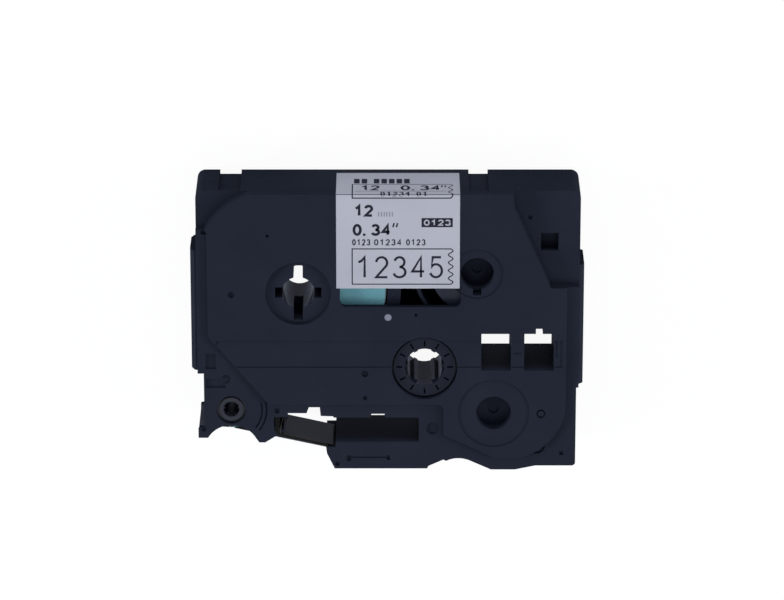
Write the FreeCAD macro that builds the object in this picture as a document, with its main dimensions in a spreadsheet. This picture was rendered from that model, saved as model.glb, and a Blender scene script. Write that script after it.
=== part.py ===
import FreeCAD, Part
import os
import re
from math import asin, atan2, cos, pi, sin

import Sketcher
from FreeCAD import Vector

# Label tape cassette for 12 mm laminated tape.
# It lies on its bottom half: +Z is the labelled face, +Y the rear wall that the label folds over.
# The origin is under the middle of the bounding box.

doc = FreeCAD.newDocument("label_tape_cassette")
sheet = doc.addObject("Spreadsheet::Sheet", "Sizes")

SIZES = (
    # Case outline, seen from above
    ("case_left", -41.6),
    ("case_right", 42.0),
    ("case_rear", 32.35),
    ("case_front", -32.35),
    ("rear_corner_radius", 1.8),
    ("left_ledge_step", 1.35),
    ("left_ledge_place", -9.6),
    ("right_ledge_step", 0.5),
    ("right_ledge_place", -12.9),
    ("right_front_rise", 0.95),
    ("foot_width", 2.1),
    ("foot_length", 2.4),
    ("platen_radius", 6.1),
    # Case section
    ("case_height", 16.5),
    ("split_height", 8.25),
    ("face_step", 0.75),
    ("corner_step", 2.4),
    ("wall", 1.5),
    ("floor_thickness", 1.4),
    ("roof_thickness", 1.4),
    ("post_radius", 1.1),
    ("arm_post_radius", 0.6),
    ("bend_post_radius", 0.4),
    # Grip pads on the sides
    ("left_pad_width", 1.4),
    ("right_pad_width", 1.0),
    ("pad_length", 27.9),
    ("pad_height", 10.5),
    ("pad_slope", 0.9),
    # Tape
    ("tape_width", 12.0),
    ("tape_thickness", 0.15),
    ("film_spacing", 0.75),
    ("running_gap", 0.3),
    ("end_gap", 0.25),
    # Adhesive tape spool
    ("adhesive_roll_radius", 19.0),
    ("adhesive_side_gap", 1.7),
    ("adhesive_rear_gap", 2.5),
    ("adhesive_core_wall", 1.8),
    ("hub_boss_radius", 7.0),
    ("hub_bore_radius", 3.6),
    ("hub_ring_radius", 7.2),
    ("hub_ring_depth", 0.8),
    ("hub_slot_width", 2.0),
    ("hub_slot_reach", 6.3),
    ("hub_side_slot_width", 2.4),
    ("hub_side_slot_reach", 5.1),
    ("spacer_thickness", 0.15),
    ("spacer_overhang", 0.2),
    ("roll_wall_width", 2.9),
    ("roll_wall_angle", 11),
    # Film spool
    ("film_roll_radius", 10.1),
    ("film_hub_x", 19.6),
    ("film_hub_y", 13.9),
    ("film_cup_radius", 3.65),
    ("film_cup_depth", 4.0),
    ("film_boss_radius", 4.6),
    ("film_ring_radius", 5.7),
    ("film_core_wall", 1.4),
    ("chamber_rib_radius", 13.2),
    ("chamber_rib_width", 0.7),
    ("chamber_rib_start", 165),
    ("chamber_rib_end", 250),
    # Ribbon supply spool
    ("ribbon_roll_radius", 8.0),
    ("ribbon_hub_x", 23.4),
    ("ribbon_hub_y", -18.7),
    ("ribbon_cup_radius", 3.85),
    ("ribbon_cup_floor_radius", 3.2),
    ("ribbon_cup_depth", 3.0),
    ("ribbon_boss_radius", 4.7),
    ("ribbon_ring_radius", 7.9),
    ("ribbon_core_wall", 1.2),
    ("cup_ring_radius", 1.1),
    ("cup_ring_depth", 0.4),
    ("shallow_depth", 0.25),
    ("mark_depth", 0.4),
    ("groove_width", 0.35),
    ("corner_pocket_depth", 2.5),
    # Ribbon take-up spool
    ("takeup_x", 8.2),
    ("takeup_y", -8.1),
    ("takeup_radius", 6.8),
    ("takeup_hole_gap", 0.4),
    ("takeup_shoulder", 0.8),
    ("takeup_bore_radius", 4.3),
    ("takeup_tooth_height", 0.6),
    ("takeup_tooth_width", 0.9),
    ("takeup_web_radius", 5.1),
    ("takeup_rim", 0.6),
    ("takeup_groove_width", 0.35),
    ("takeup_groove_depth", 1.2),
    ("takeup_end_recess", 0.9),
    ("used_ribbon_layer", 0.6),
    # Drive roller
    ("roller_x", -34.3),
    ("roller_y", -18.2),
    ("roller_radius", 4.2),
    ("roller_journal_radius", 2.75),
    ("roller_bore_radius", 1.8),
    ("roller_hole_gap", 0.55),
    ("roller_end_recess", 0.5),
    ("roller_chamber_gap", 0.8),
    ("roller_rib_width", 0.5),
    ("roller_rib_height", 0.35),
    # Springs
    ("spring_wire", 0.4),
    ("spring_turns", 2.5),
    ("spring_pitch", 0.7),
    ("spring_gap", 0.1),
    # Head recess, the slot beside it and the arm
    ("recess_left", -11.4),
    ("recess_right", 7.0),
    ("recess_rear", -20.0),
    ("recess_front", -25.7),
    ("recess_notch_width", 2.9),
    ("recess_notch_depth", 0.9),
    ("recess_notch_offset", 10.5),
    ("slot_left", -21.85),
    ("slot_rear", -18.95),
    ("slot_notch_width", 2.9),
    ("slot_notch_depth", 1.4),
    ("slot_notch_offset", 4.1),
    ("arm_tip_length", 2.1),
    ("arm_bevel_width", 1.9),
    ("arm_bevel_length", 4.6),
    ("arm_flat_end", 8.8),
    ("arm_front_rise", 0.25),
    ("arm_channel_width", 2.0),
    ("pillar_width", 3.1),
    # Window and through holes
    ("window_left", -10.3),
    ("window_width", 26.4),
    ("window_front", 6.3),
    ("window_height", 5.6),
    ("hole_width", 6.5),
    ("hole_height", 8.55),
    ("hole_left", 20.6),
    ("hole_spacing", 9.4),
    ("hole_rear", 0.0),
    ("hole_wall", 0.9),
    ("hole_key_width", 1.5),
    ("hole_key_depth", 1.2),
    # Raised face
    ("face_left", -39.2),
    ("face_diagonal_top", -0.7),
    ("face_front", -16.75),
    ("face_diagonal_end", -25.9),
    ("face_drop", 12.4),
    ("strip_rear", -1.65),
    ("strip_front", -7.9),
    ("strip_left", -37.5),
    ("strip_right", 38.4),
    # Label
    ("label_left", -11.1),
    ("label_width", 26.9),
    ("label_front", 10.6),
    ("label_thickness", 0.12),
    ("label_rear_bottom", 2.3),
    # Latch notches in the rear wall
    ("notch_depth", 1.0),
    ("left_notch_offset", 5.0),
    ("left_notch_width", 4.7),
    ("right_notch_offset", 20.0),
    ("right_notch_width", 4.2),
    ("notch_height", 14.0),
)

for row, (alias, number) in enumerate(SIZES, start=1):
    sheet.set(f"A{row}", str(number))
    sheet.setAlias(f"A{row}", alias)
doc.recompute()

NAMES = {alias for alias, number in SIZES}


def size(expression):
    """The value of an expression of named sizes."""
    return float(sheet.evalExpression(expression))


def bound(expression):
    """The same expression as other objects of the document write it."""
    return re.sub(r"[a-z_]+", lambda word: "Sizes." + word[0] if word[0] in NAMES else word[0], expression)


# Places that follow from the sizes
LEFT_LOW = "(case_left + left_ledge_step)"
RIGHT_LOW = "(case_right - right_ledge_step)"
FRONT_RIGHT = "(case_front + right_front_rise)"
ARM_FRONT = "(case_front + arm_front_rise)"
ARM_TIP = "(recess_left - arm_tip_length)"
ROOF = "(case_height - roof_thickness)"
TAPE_BOTTOM = "((case_height - tape_width) / 2)"
HUB_X = "(case_left + wall + adhesive_side_gap + adhesive_roll_radius)"
HUB_Y = "(case_rear - wall - adhesive_rear_gap - adhesive_roll_radius)"
ADHESIVE_CORE = "(hub_boss_radius + running_gap + adhesive_core_wall)"
FILM_CORE = "(film_boss_radius + running_gap + film_core_wall)"
RIBBON_CORE = "(ribbon_boss_radius + running_gap + ribbon_core_wall)"
TAKEUP_BARREL = "(takeup_radius + takeup_shoulder)"
USED_RADIUS = f"({TAKEUP_BARREL} + used_ribbon_layer)"
SPRING_HEIGHT = "(spring_pitch * spring_turns + spring_wire)"
SECOND_HOLE = "(hole_left + hole_spacing)"
HOLE_FRONT = "(hole_rear - hole_height)"
SHELF = "(case_height - face_step)"
CORNER_LEVEL = "(case_height - corner_step)"


def plane(body, role):
    return next(feature for feature in body.Origin.OriginFeatures if feature.Role == role)


def new_sketch(body, name, level, role="XY_Plane"):
    sketch = body.newObject("Sketcher::SketchObject", name)
    sketch.AttachmentSupport = [(plane(body, role), "")]
    sketch.MapMode = "FlatFace"
    sketch.setExpression("AttachmentOffset.Base.z", bound(level))
    return sketch


def fix(sketch, kind, value, expression, *where):
    """One dimension of a sketch, held by an expression of the sheet."""
    index = sketch.addConstraint(Sketcher.Constraint(kind, *where, value))
    sketch.setExpression(f"Constraints[{index}]", bound(expression))


def place_point(sketch, piece, end, x, y):
    fix(sketch, "DistanceX", size(x), x, -1, 1, piece, end)
    fix(sketch, "DistanceY", size(y), y, -1, 1, piece, end)


def add_outline(sketch, corners):
    """A closed outline. A corner (x, y, radius, side) is reached by an arc that turns to that side."""
    spots = [Vector(size(corner[0]), size(corner[1]), 0) for corner in corners]
    pieces = []
    for index, corner in enumerate(corners):
        start, end = spots[index - 1], spots[index]
        if len(corner) == 2:
            piece = sketch.addGeometry(Part.LineSegment(start, end), False)
            pieces.append((piece, 1, 2))
            continue
        radius = size(corner[2])
        turn = 1 if corner[3] == "left" else -1
        chord = end - start
        rise = (radius ** 2 - chord.Length ** 2 / 4) ** 0.5
        normal = Vector(-chord.y, chord.x, 0).normalize()
        centre = (start + end) / 2 + normal * rise * turn
        first, last = (start, end) if turn == 1 else (end, start)
        angles = [atan2(spot.y - centre.y, spot.x - centre.x) for spot in (first, last)]
        circle = Part.Circle(centre, Vector(0, 0, 1), radius)
        piece = sketch.addGeometry(Part.ArcOfCircle(circle, *angles), False)
        fix(sketch, "Radius", radius, corner[2], piece)
        pieces.append((piece, 1, 2) if turn == 1 else (piece, 2, 1))
    for index, (piece, start, end) in enumerate(pieces):
        following, following_start, _ = pieces[(index + 1) % len(pieces)]
        sketch.addConstraint(Sketcher.Constraint("Coincident", piece, end, following, following_start))
        place_point(sketch, piece, end, corners[index][0], corners[index][1])


def add_circle(sketch, x, y, radius):
    circle = Part.Circle(Vector(size(x), size(y), 0), Vector(0, 0, 1), size(radius))
    piece = sketch.addGeometry(circle, False)
    place_point(sketch, piece, 3, x, y)
    fix(sketch, "Radius", size(radius), radius, piece)


def outline(body, name, level, corners, role="XY_Plane"):
    sketch = new_sketch(body, name, level, role)
    add_outline(sketch, corners)
    return sketch


def circles(body, name, level, *rounds):
    sketch = new_sketch(body, name, level)
    for x, y, radius in rounds:
        add_circle(sketch, x, y, radius)
    return sketch


def box(left, front, right, rear):
    """The corners of an upright rectangle."""
    return [(left, front), (right, front), (right, rear), (left, rear)]


def centred_box(x, y, width, height):
    return box(f"{x} - {width} / 2", f"{y} - {height} / 2", f"{x} + {width} / 2", f"{y} + {height} / 2")


def feature(body, kind, sketch, length):
    """A pad or pocket of a sketch. Its volume has to change the right way."""
    before = body.Shape.Volume if body.Tip else 0
    made = body.newObject(f"PartDesign::{kind}", f"{kind}_{sketch.Name}")
    made.Profile = sketch
    made.setExpression("Length", bound(length))
    doc.recompute()
    change = made.Shape.Volume - before
    if (change > 0) != (kind == "Pad"):
        raise RuntimeError(f"{made.Name} does not change {body.Label} as it should")
    return made


def pad(body, sketch, length):
    return feature(body, "Pad", sketch, length)


def pocket(body, sketch, length):
    """Cuts down from the sketch by the length."""
    return feature(body, "Pocket", sketch, length)


def repeat_round(body, original, count):
    pattern = body.newObject("PartDesign::PolarPattern", f"Round_{original.Name}")
    pattern.Originals = [original]
    pattern.Axis = (plane(body, "Z_Axis"), [""])
    pattern.Angle = 360
    pattern.Occurrences = count
    body.Tip = pattern
    doc.recompute()


def new_body(name):
    body = doc.addObject("PartDesign::Body", name)
    body.Label = name
    return body


def move_to(body, x, y):
    body.setExpression("Placement.Base.x", bound(x))
    body.setExpression("Placement.Base.y", bound(y))


# Case

def case_corners():
    """The outline that both halves of the case share, from the rear left corner round the front."""
    foot_rear = "(roller_y - roller_radius - foot_length + 0.6)"
    foot_front = "(roller_y - roller_radius - foot_length + 0.2)"
    lobe_front = "(recess_front - 0.2)"
    pillar_left = "(slot_left - pillar_width)"
    notch_left = "(slot_left + slot_notch_offset)"
    return [
        ("case_left + rear_corner_radius", "case_rear"),
        ("case_left", "case_rear - rear_corner_radius", "rear_corner_radius", "left"),
        ("case_left", "left_ledge_place"),
        (LEFT_LOW, "left_ledge_place"),
        (LEFT_LOW, f"{foot_rear} + 2"),
        ("case_left", f"{foot_rear} + 1.6"),
        ("case_left", f"{foot_front} - 0.2"),
        ("case_left + foot_width", f"{foot_front} - 0.2"),
        ("roller_x + 5.4", "recess_front + 0.8", "platen_radius", "right"),
        ("roller_x + 6.1", lobe_front),
        ("roller_x + 7.4", lobe_front),
        ("roller_x + 10.2", "recess_front + 1.6"),
        (pillar_left, "recess_front + 2.7"),
        (pillar_left, "slot_rear - 0.95"),
        ("slot_left", "slot_rear - 0.95"),
        ("slot_left", "slot_rear"),
        (notch_left, "slot_rear"),
        (f"{notch_left} + 0.5", "slot_rear + slot_notch_depth"),
        (f"{notch_left} + slot_notch_width", "slot_rear + slot_notch_depth"),
        (f"{notch_left} + slot_notch_width + 0.2", "recess_rear + 0.4"),
        ("recess_left - 0.5", "recess_rear + 0.3"),
        ("recess_left - 0.4", "recess_rear"),
        ("recess_right - recess_notch_offset - 0.1", "recess_rear"),
        ("recess_right - recess_notch_offset", "recess_rear + recess_notch_depth"),
        ("recess_right - recess_notch_offset + recess_notch_width", "recess_rear + recess_notch_depth"),
        ("recess_right - recess_notch_offset + recess_notch_width + 0.1", "recess_rear"),
        ("recess_right", "recess_rear"),
        ("recess_right", "recess_front"),
        ("recess_left", "recess_front"),
        ("recess_left", "recess_front - 1.3"),
        (ARM_TIP, "recess_front - 1.3"),
        (f"{ARM_TIP} + 0.2", f"{ARM_FRONT} + arm_bevel_length - 1"),
        (f"{ARM_TIP} + arm_bevel_width", ARM_FRONT),
        ("arm_flat_end", ARM_FRONT),
        ("arm_flat_end + 0.3", f"{ARM_FRONT} + 0.6"),
        ("arm_flat_end + 3.6", f"{ARM_FRONT} + 2.1"),
        ("arm_flat_end + 4.2", f"{ARM_FRONT} + 1.8"),
        ("ribbon_hub_x - 5.2", f"{ARM_FRONT} + 1.9", "6", "right"),
        ("ribbon_hub_x - 0.5", "case_front"),
        ("ribbon_hub_x + 4.8", "case_front"),
        ("ribbon_hub_x + 9.3", FRONT_RIGHT),
        (f"{RIGHT_LOW} - 0.8", FRONT_RIGHT),
        (RIGHT_LOW, f"{FRONT_RIGHT} + 0.8", "0.8", "left"),
        (RIGHT_LOW, "right_ledge_place"),
        ("case_right", "right_ledge_place"),
        ("case_right", "case_rear - rear_corner_radius"),
        ("case_right - rear_corner_radius", "case_rear", "rear_corner_radius", "left"),
    ]


def chamber_corners(rear_left, rear_right):
    """The hollow inside the case walls. The rear corners differ between the halves."""
    opening_left = "(slot_left - pillar_width - 0.3)"
    return rear_left + [
        ("case_left + wall", "left_ledge_place + wall"),
        (f"{LEFT_LOW} + wall", "left_ledge_place + wall"),
        (f"{LEFT_LOW} + wall", "roller_y + 3"),
        ("roller_x + roller_radius + 0.9", "roller_y + 3"),
        (opening_left, "slot_rear + 2.8"),
        (opening_left, "slot_rear - 2.2"),
        ("slot_left + 1", "slot_rear - 2.2"),
        ("slot_left + 1", "slot_rear + slot_notch_depth + 1.2"),
        ("recess_left - 1.6", "slot_rear + slot_notch_depth + 1.2"),
        ("recess_left - 1.6", "recess_rear + recess_notch_depth + 0.8"),
        ("recess_right + wall", "recess_rear + recess_notch_depth + 0.8"),
        ("recess_right + wall", "recess_front - 3.1"),
        ("ribbon_hub_x - 4.8", "recess_front - 3.1"),
        ("ribbon_hub_x - 0.4", "case_front + wall"),
        ("ribbon_hub_x + 4.8", "case_front + wall"),
        ("ribbon_hub_x + 9.3", f"{FRONT_RIGHT} + wall"),
        (f"{RIGHT_LOW} - wall", f"{FRONT_RIGHT} + wall"),
        (f"{RIGHT_LOW} - wall", "right_ledge_place + wall"),
        ("case_right - wall", "right_ledge_place + wall"),
    ] + rear_right


def film_lane():
    """The lane that the film takes through the lobe to the roller."""
    return [
        ("roller_x", "roller_y - roller_radius - 1.3"),
        ("slot_left", "recess_front - 0.1"),
        ("slot_left", "recess_front + 1.7"),
        ("roller_x + 2", "roller_y - roller_radius + 1.2"),
    ]


def outlet():
    """The gap between roller and foot where the finished tape leaves."""
    return box("case_left - 1", "roller_y - roller_radius - 1.1", "roller_x", "roller_y - roller_radius + 1.5")


def arm_lane():
    rear = "recess_front - 0.9"
    return box(f"{ARM_TIP} - 1", f"{rear} - arm_channel_width", "recess_right + 2 * wall", rear)


def cut_hollows(body, level, depth, rear_left, rear_right):
    """Everything that the case half is hollowed by, cut down from the level."""
    corners = chamber_corners(rear_left, rear_right)
    pocket(body, outline(body, f"Chamber_{body.Name}", level, corners), depth)
    chamber = ("roller_x", "roller_y", "roller_radius + roller_chamber_gap")
    pocket(body, circles(body, f"RollerChamber_{body.Name}", level, chamber), depth)
    pocket(body, outline(body, f"FilmLane_{body.Name}", level, film_lane()), depth)
    pocket(body, outline(body, f"Outlet_{body.Name}", level, outlet()), depth)
    pocket(body, outline(body, f"ArmLane_{body.Name}", level, arm_lane()), depth)


def hole_tube(left):
    return box(f"{left} - hole_wall", f"{HOLE_FRONT} - hole_wall",
               f"{left} + hole_width + hole_wall", "hole_rear + hole_wall")


def hole_corners(left):
    return box(left, HOLE_FRONT, f"{left} + hole_width", "hole_rear")


def key_corners():
    middle = f"({SECOND_HOLE} + hole_width / 2)"
    return box(f"{middle} - hole_key_width / 2", "hole_rear - 0.2",
               f"{middle} + hole_key_width / 2", "hole_rear + hole_key_depth")


def add_tubes(body, level, height):
    """The walls round both through holes, with the bulge for the key."""
    for name, left in (("First", "hole_left"), ("Second", SECOND_HOLE)):
        pad(body, outline(body, f"{name}Tube_{body.Name}", level, hole_tube(left)), height)
    middle = f"({SECOND_HOLE} + hole_width / 2)"
    key = box(f"{middle} - hole_key_width / 2 - hole_wall", "hole_rear",
              f"{middle} + hole_key_width / 2 + hole_wall", "hole_rear + hole_key_depth + hole_wall")
    pad(body, outline(body, f"KeyTube_{body.Name}", level, key), height)


def cut_holes(body, level, depth):
    """The through holes: two rectangles and the key."""
    for name, corners in (("First", hole_corners("hole_left")), ("Second", hole_corners(SECOND_HOLE)),
                          ("Key", key_corners())):
        pocket(body, outline(body, f"{name}Hole_{body.Name}", level, corners), depth)


def add_pads(body, level, height):
    """Grip pads on both sides, bevelled towards the face or the floor."""
    left = box("case_left - left_pad_width", "left_ledge_place", "case_left + wall / 2",
               "left_ledge_place + pad_length")
    right = box("case_right - wall / 2", "right_ledge_place", "case_right + right_pad_width",
                "right_ledge_place + pad_length")
    for name, corners in (("LeftPad", left), ("RightPad", right)):
        made = pad(body, outline(body, f"{name}_{body.Name}", level, corners), height)
        bevel_pad(body, made)


def bevel_pad(body, made):
    """Bevels the long outer edge of a grip pad that lies away from the split."""
    limit = max(abs(size("case_left")), size("case_right")) * 0.5
    edges = []
    for index, edge in enumerate(made.Shape.Edges, start=1):
        middle = edge.CenterOfMass
        ends = [vertex.Point for vertex in edge.Vertexes]
        along = len(ends) == 2 and abs(ends[0].y - ends[1].y) > size("pad_length") - 0.01
        outside = middle.x < size("case_left - left_pad_width") + 0.01
        outside = outside or middle.x > size("case_right + right_pad_width") - 0.01
        if along and outside and abs(middle.x) > limit and abs(middle.z - size("split_height")) > 0.1:
            edges.append(f"Edge{index}")
    chamfer = body.newObject("PartDesign::Chamfer", f"Bevel_{made.Name}")
    chamfer.Base = (made, edges)
    chamfer.setExpression("Size", bound("pad_slope"))
    doc.recompute()


def cut_notches(body, level, depth):
    """The latch notches in the rear wall."""
    left = box("case_left + left_notch_offset", "case_rear - notch_depth",
               "case_left + left_notch_offset + left_notch_width", "case_rear + 1")
    right = box("case_right - right_notch_offset - right_notch_width", "case_rear - notch_depth",
                "case_right - right_notch_offset", "case_rear + 1")
    for name, corners in (("LeftNotch", left), ("RightNotch", right)):
        pocket(body, outline(body, f"{name}_{body.Name}", level, corners), depth)


def label_sides():
    return "label_left", "label_left + label_width"


def build_lower_shell():
    body = new_body("lower_shell")
    pad(body, outline(body, "LowerOutline", "0", case_corners()), "split_height")
    half_pad = "pad_height / 2"
    add_pads(body, f"split_height - {half_pad}", half_pad)
    rear_left = [("case_right - wall", "case_rear - wall"), ("case_left + wall", "case_rear - wall")]
    cut_hollows(body, "split_height", "split_height - floor_thickness", rear_left, [])
    height = "split_height - floor_thickness"
    add_tubes(body, "floor_thickness", height)
    bosses = ((HUB_X, HUB_Y, "hub_boss_radius"), ("film_hub_x", "film_hub_y", "film_boss_radius"),
              ("ribbon_hub_x", "ribbon_hub_y", "ribbon_boss_radius"))
    pad(body, circles(body, "LowerBosses", "floor_thickness", *bosses), height)
    pad(body, outline(body, "ChamberRib", "floor_thickness", chamber_rib()),
        f"{TAPE_BOTTOM} + tape_width - floor_thickness")
    pad(body, outline(body, "RollWall", "floor_thickness", roll_wall()),
        f"{TAPE_BOTTOM} + tape_width - floor_thickness")
    sill = box("recess_right - recess_notch_offset - 0.5", "recess_rear",
               "recess_right - recess_notch_offset + recess_notch_width + 0.5", "recess_rear + recess_notch_depth + 0.4")
    pad(body, outline(body, "NotchSill", "0", sill), "split_height")
    tongue = box("slot_left - pillar_width", "recess_front + 1.1", "slot_left", "slot_rear - 0.5")
    pad(body, outline(body, "BendTongue", "0", tongue), "floor_thickness")
    posts = (*CORNER_POST, "post_radius"), (*RETURN_POST, "post_radius"), (*ENTRY_POST, "arm_post_radius")
    post_height = f"{ROOF} - floor_thickness - end_gap"
    pad(body, circles(body, "GuidePosts", "floor_thickness", *posts), post_height)
    pad(body, circles(body, "LowerTipPost", "floor_thickness", (*TIP_POST, "arm_post_radius")), height)
    bend = circles(body, "BendPost", "floor_thickness", (*BEND_POST, "bend_post_radius"))
    pad(body, bend, f"{TAPE_BOTTOM} + tape_width - floor_thickness")
    cut_holes(body, "split_height", "split_height")
    takeup = ("takeup_x", "takeup_y", "takeup_radius + takeup_hole_gap")
    roller = ("roller_x", "roller_y", "roller_journal_radius + roller_hole_gap")
    hub = (HUB_X, HUB_Y, "hub_bore_radius")
    pocket(body, circles(body, "LowerBores", "split_height", takeup, roller, hub), "split_height")
    dimples = (("film_hub_x", "film_hub_y", "film_cup_radius"),
               ("ribbon_hub_x", "ribbon_hub_y", "ribbon_cup_floor_radius"))
    pocket(body, circles(body, "BossHollows", "split_height", *dimples), "split_height - floor_thickness")
    cut_notches(body, "split_height", "split_height")
    left, right = label_sides()
    seat = box(left, "case_rear - label_thickness", right, "case_rear + 1")
    pocket(body, outline(body, "LowerLabelSeat", "split_height", seat), "split_height - label_rear_bottom")
    return body


def around(x, y, radius, angle):
    """A point at an angle, in degrees, on a circle."""
    return f"{x} + ({radius}) * cos({angle})", f"{y} + ({radius}) * sin({angle})"


def curved_band(x, y, inner, width, start, end):
    """The part of a ring between two angles."""
    outer = f"{inner} + {width}"
    return [
        around(x, y, outer, start),
        (*around(x, y, outer, end), outer, "left"),
        around(x, y, inner, end),
        (*around(x, y, inner, start), inner, "right"),
    ]


def chamber_rib():
    """A wall that follows the film roll on the side that the window shows."""
    return curved_band("film_hub_x", "film_hub_y", "chamber_rib_radius", "chamber_rib_width",
                       "chamber_rib_start", "chamber_rib_end")


def roll_wall():
    """A wall beside the adhesive roll, between both rolls."""
    return curved_band(HUB_X, HUB_Y, "adhesive_roll_radius + 0.5", "roll_wall_width",
                       "-roll_wall_angle", "roll_wall_angle")


def face_corners():
    """The raised part of the face."""
    corner_left = "(case_right - 6.35)"
    return [
        ("case_left + 12", "case_rear"),
        ("case_left + 1.7", "case_rear - 8", "17", "left"),
        ("face_left", "case_rear - 9"),
        ("face_left", "face_diagonal_top"),
        ("face_diagonal_end - 2.8", "face_front + 3.4"),
        ("face_diagonal_end", "face_front"),
        ("face_drop - 1.3", "face_front"),
        ("face_drop", "face_front - 1.3", "1.3", "right"),
        ("face_drop", "face_front - 7.1"),
        ("ribbon_hub_x + 0.4", "ribbon_hub_y - 10.7"),
        ("ribbon_hub_x + 5.6", "ribbon_hub_y - 10.7"),
        ("case_right - 2.8", "ribbon_hub_y + 0.3", "14", "left"),
        ("case_right - 2.8", "hole_rear + 7"),
        ("case_right - 2.8", "case_rear - 21.7"),
        (corner_left, "case_rear - 21.7"),
        ("case_right - 14.35", "case_rear - 3.5"),
        ("case_right - 14.8", "case_rear"),
    ]


def sunk_left():
    """The sunk corner at the rear left."""
    return [
        ("case_left - 1", "case_rear + 1"),
        ("case_left - 1", "case_rear - 8.4"),
        ("case_left + 1.9", "case_rear - 8.4"),
        ("case_left + 12", "case_rear", "17", "right"),
        ("case_left + 12", "case_rear + 1"),
    ]


def sunk_right():
    """The sunk corner at the rear right."""
    return [
        ("case_right + 1", "case_rear + 1"),
        ("case_right - 14.8", "case_rear + 1"),
        ("case_right - 14.8", "case_rear"),
        ("case_right - 14.35", "case_rear - 3.5"),
        ("case_right - 6.35", "case_rear - 21.7"),
        ("case_right + 1", "case_rear - 21.7"),
    ]


def window_corners():
    radius = "1.2"
    right = "window_left + window_width"
    rear = "window_front + window_height"
    return [
        (f"window_left + {radius}", "window_front"),
        (f"{right} - {radius}", "window_front"),
        (right, f"window_front + {radius}", radius, "left"),
        (right, f"{rear} - {radius}"),
        (f"{right} - {radius}", rear, radius, "left"),
        (f"window_left + {radius}", rear),
        ("window_left", f"{rear} - {radius}", radius, "left"),
        ("window_left", f"window_front + {radius}"),
        (f"window_left + {radius}", "window_front", radius, "left"),
    ][1:]


def build_upper_shell():
    body = new_body("upper_shell")
    pad(body, outline(body, "UpperOutline", "split_height", case_corners()), f"{SHELF} - split_height")
    pad(body, outline(body, "RaisedFace", SHELF, face_corners()), "face_step")
    sink = f"{SHELF} - {CORNER_LEVEL}"
    pocket(body, outline(body, "SunkLeft", "case_height", sunk_left()), f"face_step + {sink}")
    pocket(body, outline(body, "SunkRight", "case_height", sunk_right()), f"face_step + {sink}")
    add_pads(body, "split_height", "pad_height / 2")
    depth = f"{ROOF} - split_height"
    rear_left = [
        ("case_right - 15.9", "case_rear - wall"),
        ("case_left + 12.2", "case_rear - wall"),
        ("case_left + 3", "case_rear - 9.6", "15.5", "left"),
        ("case_left + wall", "case_rear - 9.6"),
    ]
    rear_right = [
        ("case_right - wall", "case_rear - 22.8"),
        ("case_right - 7.2", "case_rear - 22.8"),
        ("case_right - 15.5", "case_rear - 3.8"),
    ]
    cut_hollows(body, ROOF, depth, rear_left, rear_right)
    return finish_upper_shell(body, depth)


def finish_upper_shell(body, depth):
    """Bosses, holes, cups and shallow marks of the upper half."""
    bosses = ((HUB_X, HUB_Y, "hub_boss_radius"), ("film_hub_x", "film_hub_y", "film_boss_radius"),
              ("ribbon_hub_x", "ribbon_hub_y", "ribbon_boss_radius"))
    pad(body, circles(body, "UpperBosses", "split_height", *bosses), f"{depth} + 0.1")
    pad(body, circles(body, "UpperTipPost", "split_height", (*TIP_POST, "arm_post_radius")), f"{depth} + 0.1")
    add_tubes(body, "split_height", f"{depth} + 0.1")
    cut_holes(body, "case_height", "case_height - split_height")
    takeup = ("takeup_x", "takeup_y", "takeup_radius + takeup_hole_gap")
    roller = ("roller_x", "roller_y", "roller_journal_radius + roller_hole_gap")
    hub = (HUB_X, HUB_Y, "hub_bore_radius")
    through = "case_height - split_height"
    pocket(body, circles(body, "UpperBores", "case_height", takeup, roller, hub), through)
    ring = (HUB_X, HUB_Y, "hub_ring_radius")
    pocket(body, circles(body, "HubRing", "case_height", ring), "hub_ring_depth")
    cross = centred_box(HUB_X, HUB_Y, "hub_slot_width", "(2 * hub_slot_reach)")
    pocket(body, outline(body, "HubSlot", "case_height", cross), through)
    side_cross = centred_box(HUB_X, HUB_Y, "(2 * hub_side_slot_reach)", "hub_side_slot_width")
    pocket(body, outline(body, "HubSideSlot", "case_height", side_cross), through)
    pocket(body, outline(body, "Window", "case_height", window_corners()), "roof_thickness + 0.5")
    strip = box("strip_left", "strip_front", "strip_right", "strip_rear")
    pocket(body, outline(body, "Strip", "case_height", strip), "shallow_depth")
    for name, x, y, ring, cup, depth in (
            ("Film", "film_hub_x", "film_hub_y", "film_ring_radius", "film_cup_radius", "film_cup_depth"),
            ("Ribbon", "ribbon_hub_x", "ribbon_hub_y", "ribbon_ring_radius", "ribbon_cup_radius",
             "ribbon_cup_depth")):
        pocket(body, circles(body, f"{name}Ring", "case_height", (x, y, ring)), "shallow_depth")
        pocket(body, circles(body, f"{name}Cup", "case_height", (x, y, cup)), depth)
        floor = f"case_height - {depth}"
        pocket(body, circles(body, f"{name}CupRing", floor, (x, y, "cup_ring_radius")), "cup_ring_depth")
    cut_notches(body, "notch_height", "notch_height - split_height")
    left, right = label_sides()
    seat = box(left, "case_rear - label_thickness", right, "case_rear + 1")
    pocket(body, outline(body, "UpperLabelSeat", "case_height", seat), through)
    face = box(left, "label_front", right, "case_rear + 1")
    pocket(body, outline(body, "FaceLabelSeat", "case_height", face), "label_thickness")
    cut_marks(body)
    return body


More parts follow.
